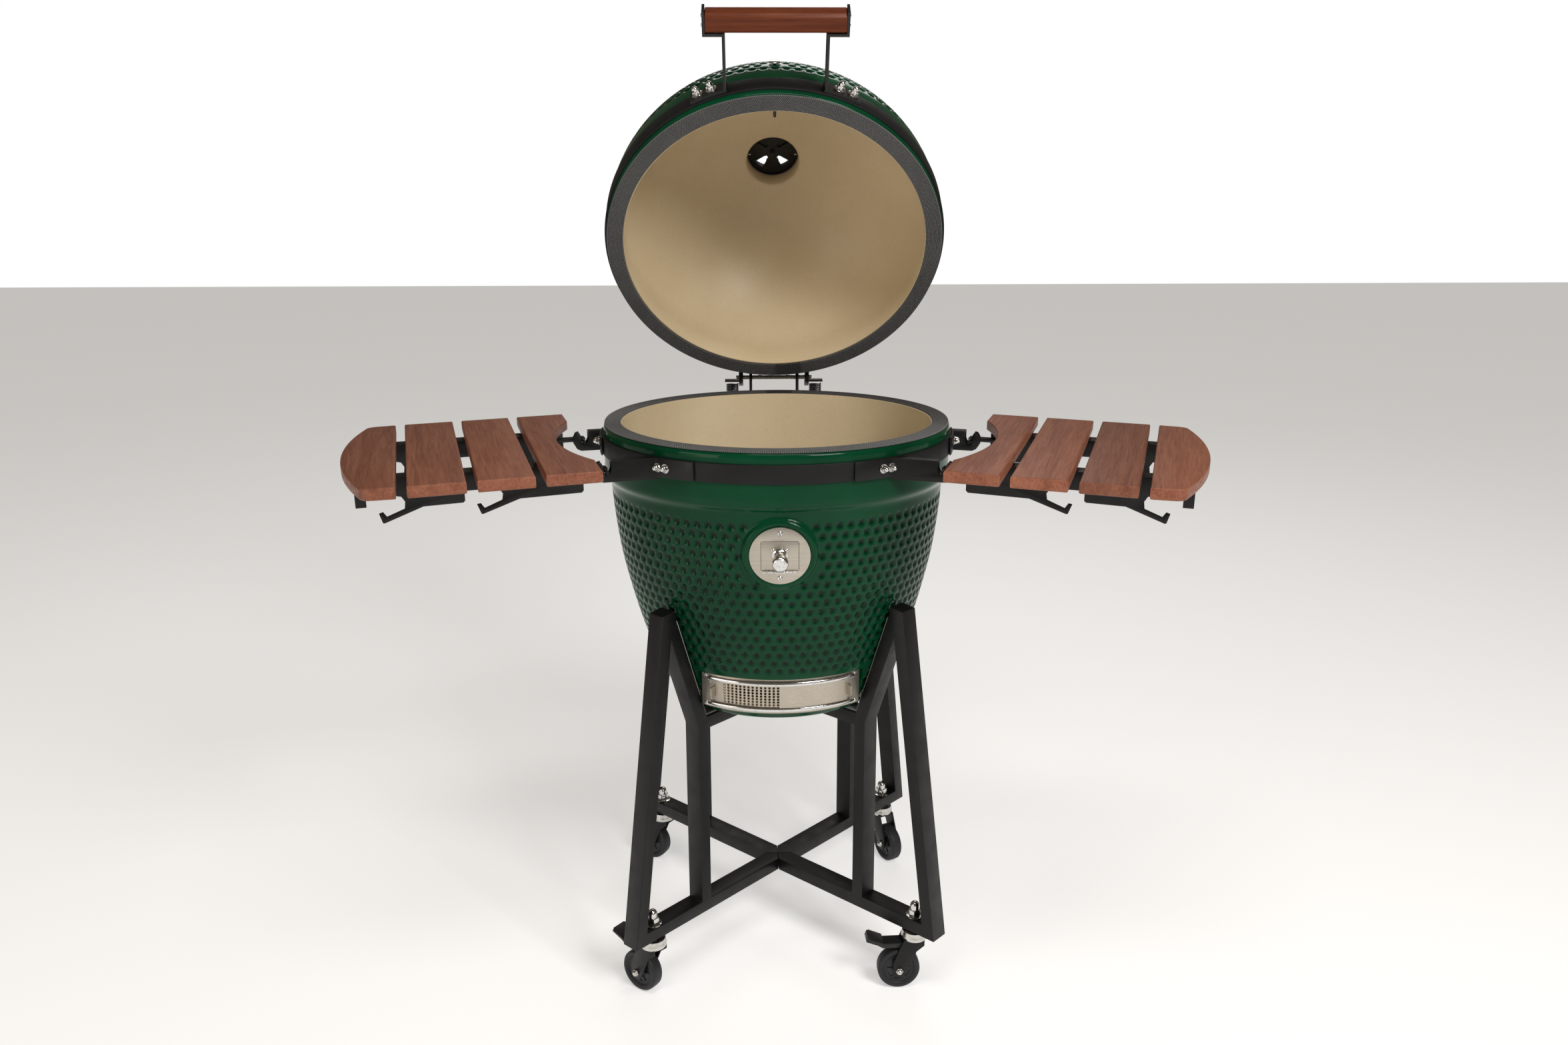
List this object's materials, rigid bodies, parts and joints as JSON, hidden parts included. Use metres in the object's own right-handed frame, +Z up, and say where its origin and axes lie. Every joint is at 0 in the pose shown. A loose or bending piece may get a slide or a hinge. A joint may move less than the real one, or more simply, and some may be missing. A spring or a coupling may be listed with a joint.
{
  "type": "kamado ceramic grill",
  "caption": "Egg-shaped ceramic charcoal grill, hinged domed lid open, on a four-caster frame with two fold-down slatted wooden side shelves, front draft door and starter port",
  "frame": {"origin": "centre of the footprint on the floor", "axes": "+Z up, front with the draft door faces -Y, +X to the right seen from the front"},
  "size_m": [1.2519, 0.8404, 1.4513],
  "materials": {
    "glaze": "deep glossy green glaze with small round dimples outside, tan inside",
    "gasket": "woven dark grey heat gasket",
    "band": "satin black band",
    "coat": "satin black powder coat",
    "wood": "oiled reddish hardwood",
    "steel": "brushed",
    "iron": "matte black",
    "clay": "raw fired clay",
    "felt": "grey felt",
    "rubber": "satin grey-black tread",
    "plastic": "moulded black",
    "spring": "dark oiled wire"
  },
  "bodies": {
    "body": {"stand_frame_fl": "coat", "stand_frame_fr": "coat", "stand_frame_rr": "coat", "stand_frame_rl": "coat", "felt_pad_fl": "felt", "felt_pad_fr": "felt", "felt_pad_rr": "felt", "felt_pad_rl": "felt", "ceramic_base": "glaze", "base_gasket": "gasket", "base_band": "band", "fire_bowl": "clay", "fire_ring": "clay", "charcoal_grate": "iron", "port_plate": "steel", "draft_frame": "steel", "hinge_bracket_base": "coat", "hinge_pin": "steel", "hinge_spring_left": "spring", "hinge_spring_right": "spring", "shelf_bracket_left_front": "coat", "shelf_bracket_left_rear": "coat", "shelf_bracket_right_front": "coat", "shelf_bracket_right_rear": "coat"},
    "lid": {"ceramic_lid": "glaze", "lid_gasket": "gasket", "lid_band": "band", "handle_strap_left": "coat", "handle_strap_right": "coat", "handle_grip": "wood", "hinge_leaf_lid": "coat", "temperature_probe": "steel", "vent_base": "iron"},
    "vent_disc": {"vent_disc": "iron"},
    "cooking_grate": {"cooking_grate": "steel"},
    "starter_hatch": {"starter_hatch": "steel"},
    "draft_screen": {"draft_screen": "steel"},
    "draft_door": {"draft_door": "steel"},
    "shelf_left": {"slat_left_1": "wood", "slat_left_2": "wood", "slat_left_3": "wood", "slat_left_4": "wood", "shelf_rail_left_front": "coat", "shelf_rail_left_rear": "coat"},
    "shelf_right": {"slat_right_1": "wood", "slat_right_2": "wood", "slat_right_3": "wood", "slat_right_4": "wood", "shelf_rail_right_front": "coat", "shelf_rail_right_rear": "coat"},
    "caster_fl": {"caster_fork_fl": "coat"},
    "wheel_fl": {"caster_wheel_fl": "rubber"},
    "caster_fr": {"caster_fork_fr": "coat"},
    "wheel_fr": {"caster_wheel_fr": "rubber"},
    "caster_rr": {"caster_fork_rr": "coat"},
    "wheel_rr": {"caster_wheel_rr": "rubber"},
    "caster_rl": {"caster_fork_rl": "coat"},
    "wheel_rl": {"caster_wheel_rl": "rubber"},
    "pedal_fl": {"brake_pedal_fl": "plastic"},
    "pedal_fr": {"brake_pedal_fr": "plastic"}
  },
  "joints": [
    {"name": "lid_hinge", "type": "hinge", "parent": "body", "child": "lid", "pos_m": [0, 0.297, 0.886], "axis": [1, 0, 0], "range_deg": [0, 57.2], "deforming": ["hinge_spring_left", "hinge_spring_right"]},
    {"name": "vent_turn", "type": "hinge", "parent": "lid", "child": "vent_disc", "pos_m": [0, 0.37035, 1.26876], "axis": [0, 0.8406, 0.5417], "range_deg": [0, 40]},
    {"name": "grate_lift", "type": "slide", "parent": "body", "child": "cooking_grate", "axis": [0, 0, 1], "range_m": [0, 0.22]},
    {"name": "hatch_hinge", "type": "hinge", "parent": "body", "child": "starter_hatch", "pos_m": [0, -0.23737, 0.69476], "axis": [1, 0, 0], "range_deg": [0, 95]},
    {"name": "draft_screen_slide", "type": "hinge", "parent": "body", "child": "draft_screen", "pos_m": [0, 0.015, 0.484], "axis": [0, 0, 1], "range_deg": [0, 28]},
    {"name": "draft_door_slide", "type": "hinge", "parent": "body", "child": "draft_door", "pos_m": [0, 0.015, 0.484], "axis": [0, 0, 1], "range_deg": [-28, 0]},
    {"name": "shelf_left_fold", "type": "hinge", "parent": "body", "child": "shelf_left", "pos_m": [-0.27649, -0.06038, 0.83132], "axis": [0.263, -0.9648, 0], "range_deg": [0, 88]},
    {"name": "shelf_right_fold", "type": "hinge", "parent": "body", "child": "shelf_right", "pos_m": [0.27153, -0.07664, 0.83132], "axis": [0.3198, 0.9475, 0], "range_deg": [0, 88]},
    {"name": "caster_swivel_fl", "type": "hinge", "parent": "body", "child": "caster_fl", "pos_m": [-0.19499, -0.19286, 0.09], "axis": [0, 0, 1], "continuous": true},
    {"name": "wheel_spin_fl", "type": "hinge", "parent": "caster_fl", "child": "wheel_fl", "pos_m": [-0.2139, -0.17808, 0.033], "axis": [-0.6157, -0.788, 0], "continuous": true},
    {"name": "caster_swivel_fr", "type": "hinge", "parent": "body", "child": "caster_fr", "pos_m": [0.20786, -0.17999, 0.09], "axis": [0, 0, 1], "continuous": true},
    {"name": "wheel_spin_fr", "type": "hinge", "parent": "caster_fr", "child": "wheel_fr", "pos_m": [0.18389, -0.18124, 0.033], "axis": [0.0523, -0.9986, 0], "continuous": true},
    {"name": "caster_swivel_rr", "type": "hinge", "parent": "body", "child": "caster_rr", "pos_m": [0.19499, 0.22286, 0.09], "axis": [0, 0, 1], "continuous": true},
    {"name": "wheel_spin_rr", "type": "hinge", "parent": "caster_rr", "child": "wheel_rr", "pos_m": [0.20625, 0.20167, 0.033], "axis": [0.8829, 0.4695, 0], "continuous": true},
    {"name": "caster_swivel_rl", "type": "hinge", "parent": "body", "child": "caster_rl", "pos_m": [-0.20786, 0.20999, 0.09], "axis": [0, 0, 1], "continuous": true},
    {"name": "wheel_spin_rl", "type": "hinge", "parent": "caster_rl", "child": "wheel_rl", "pos_m": [-0.22864, 0.22199, 0.033], "axis": [-0.5, -0.866, 0], "continuous": true},
    {"name": "brake_fl", "type": "hinge", "parent": "caster_fl", "child": "pedal_fl", "pos_m": [-0.2139, -0.17808, 0.076], "axis": [-0.6157, -0.788, 0], "range_deg": [0, 8]},
    {"name": "brake_fr", "type": "hinge", "parent": "caster_fr", "child": "pedal_fr", "pos_m": [0.18389, -0.18124, 0.076], "axis": [0.0523, -0.9986, 0], "range_deg": [0, 8]}
  ]
}
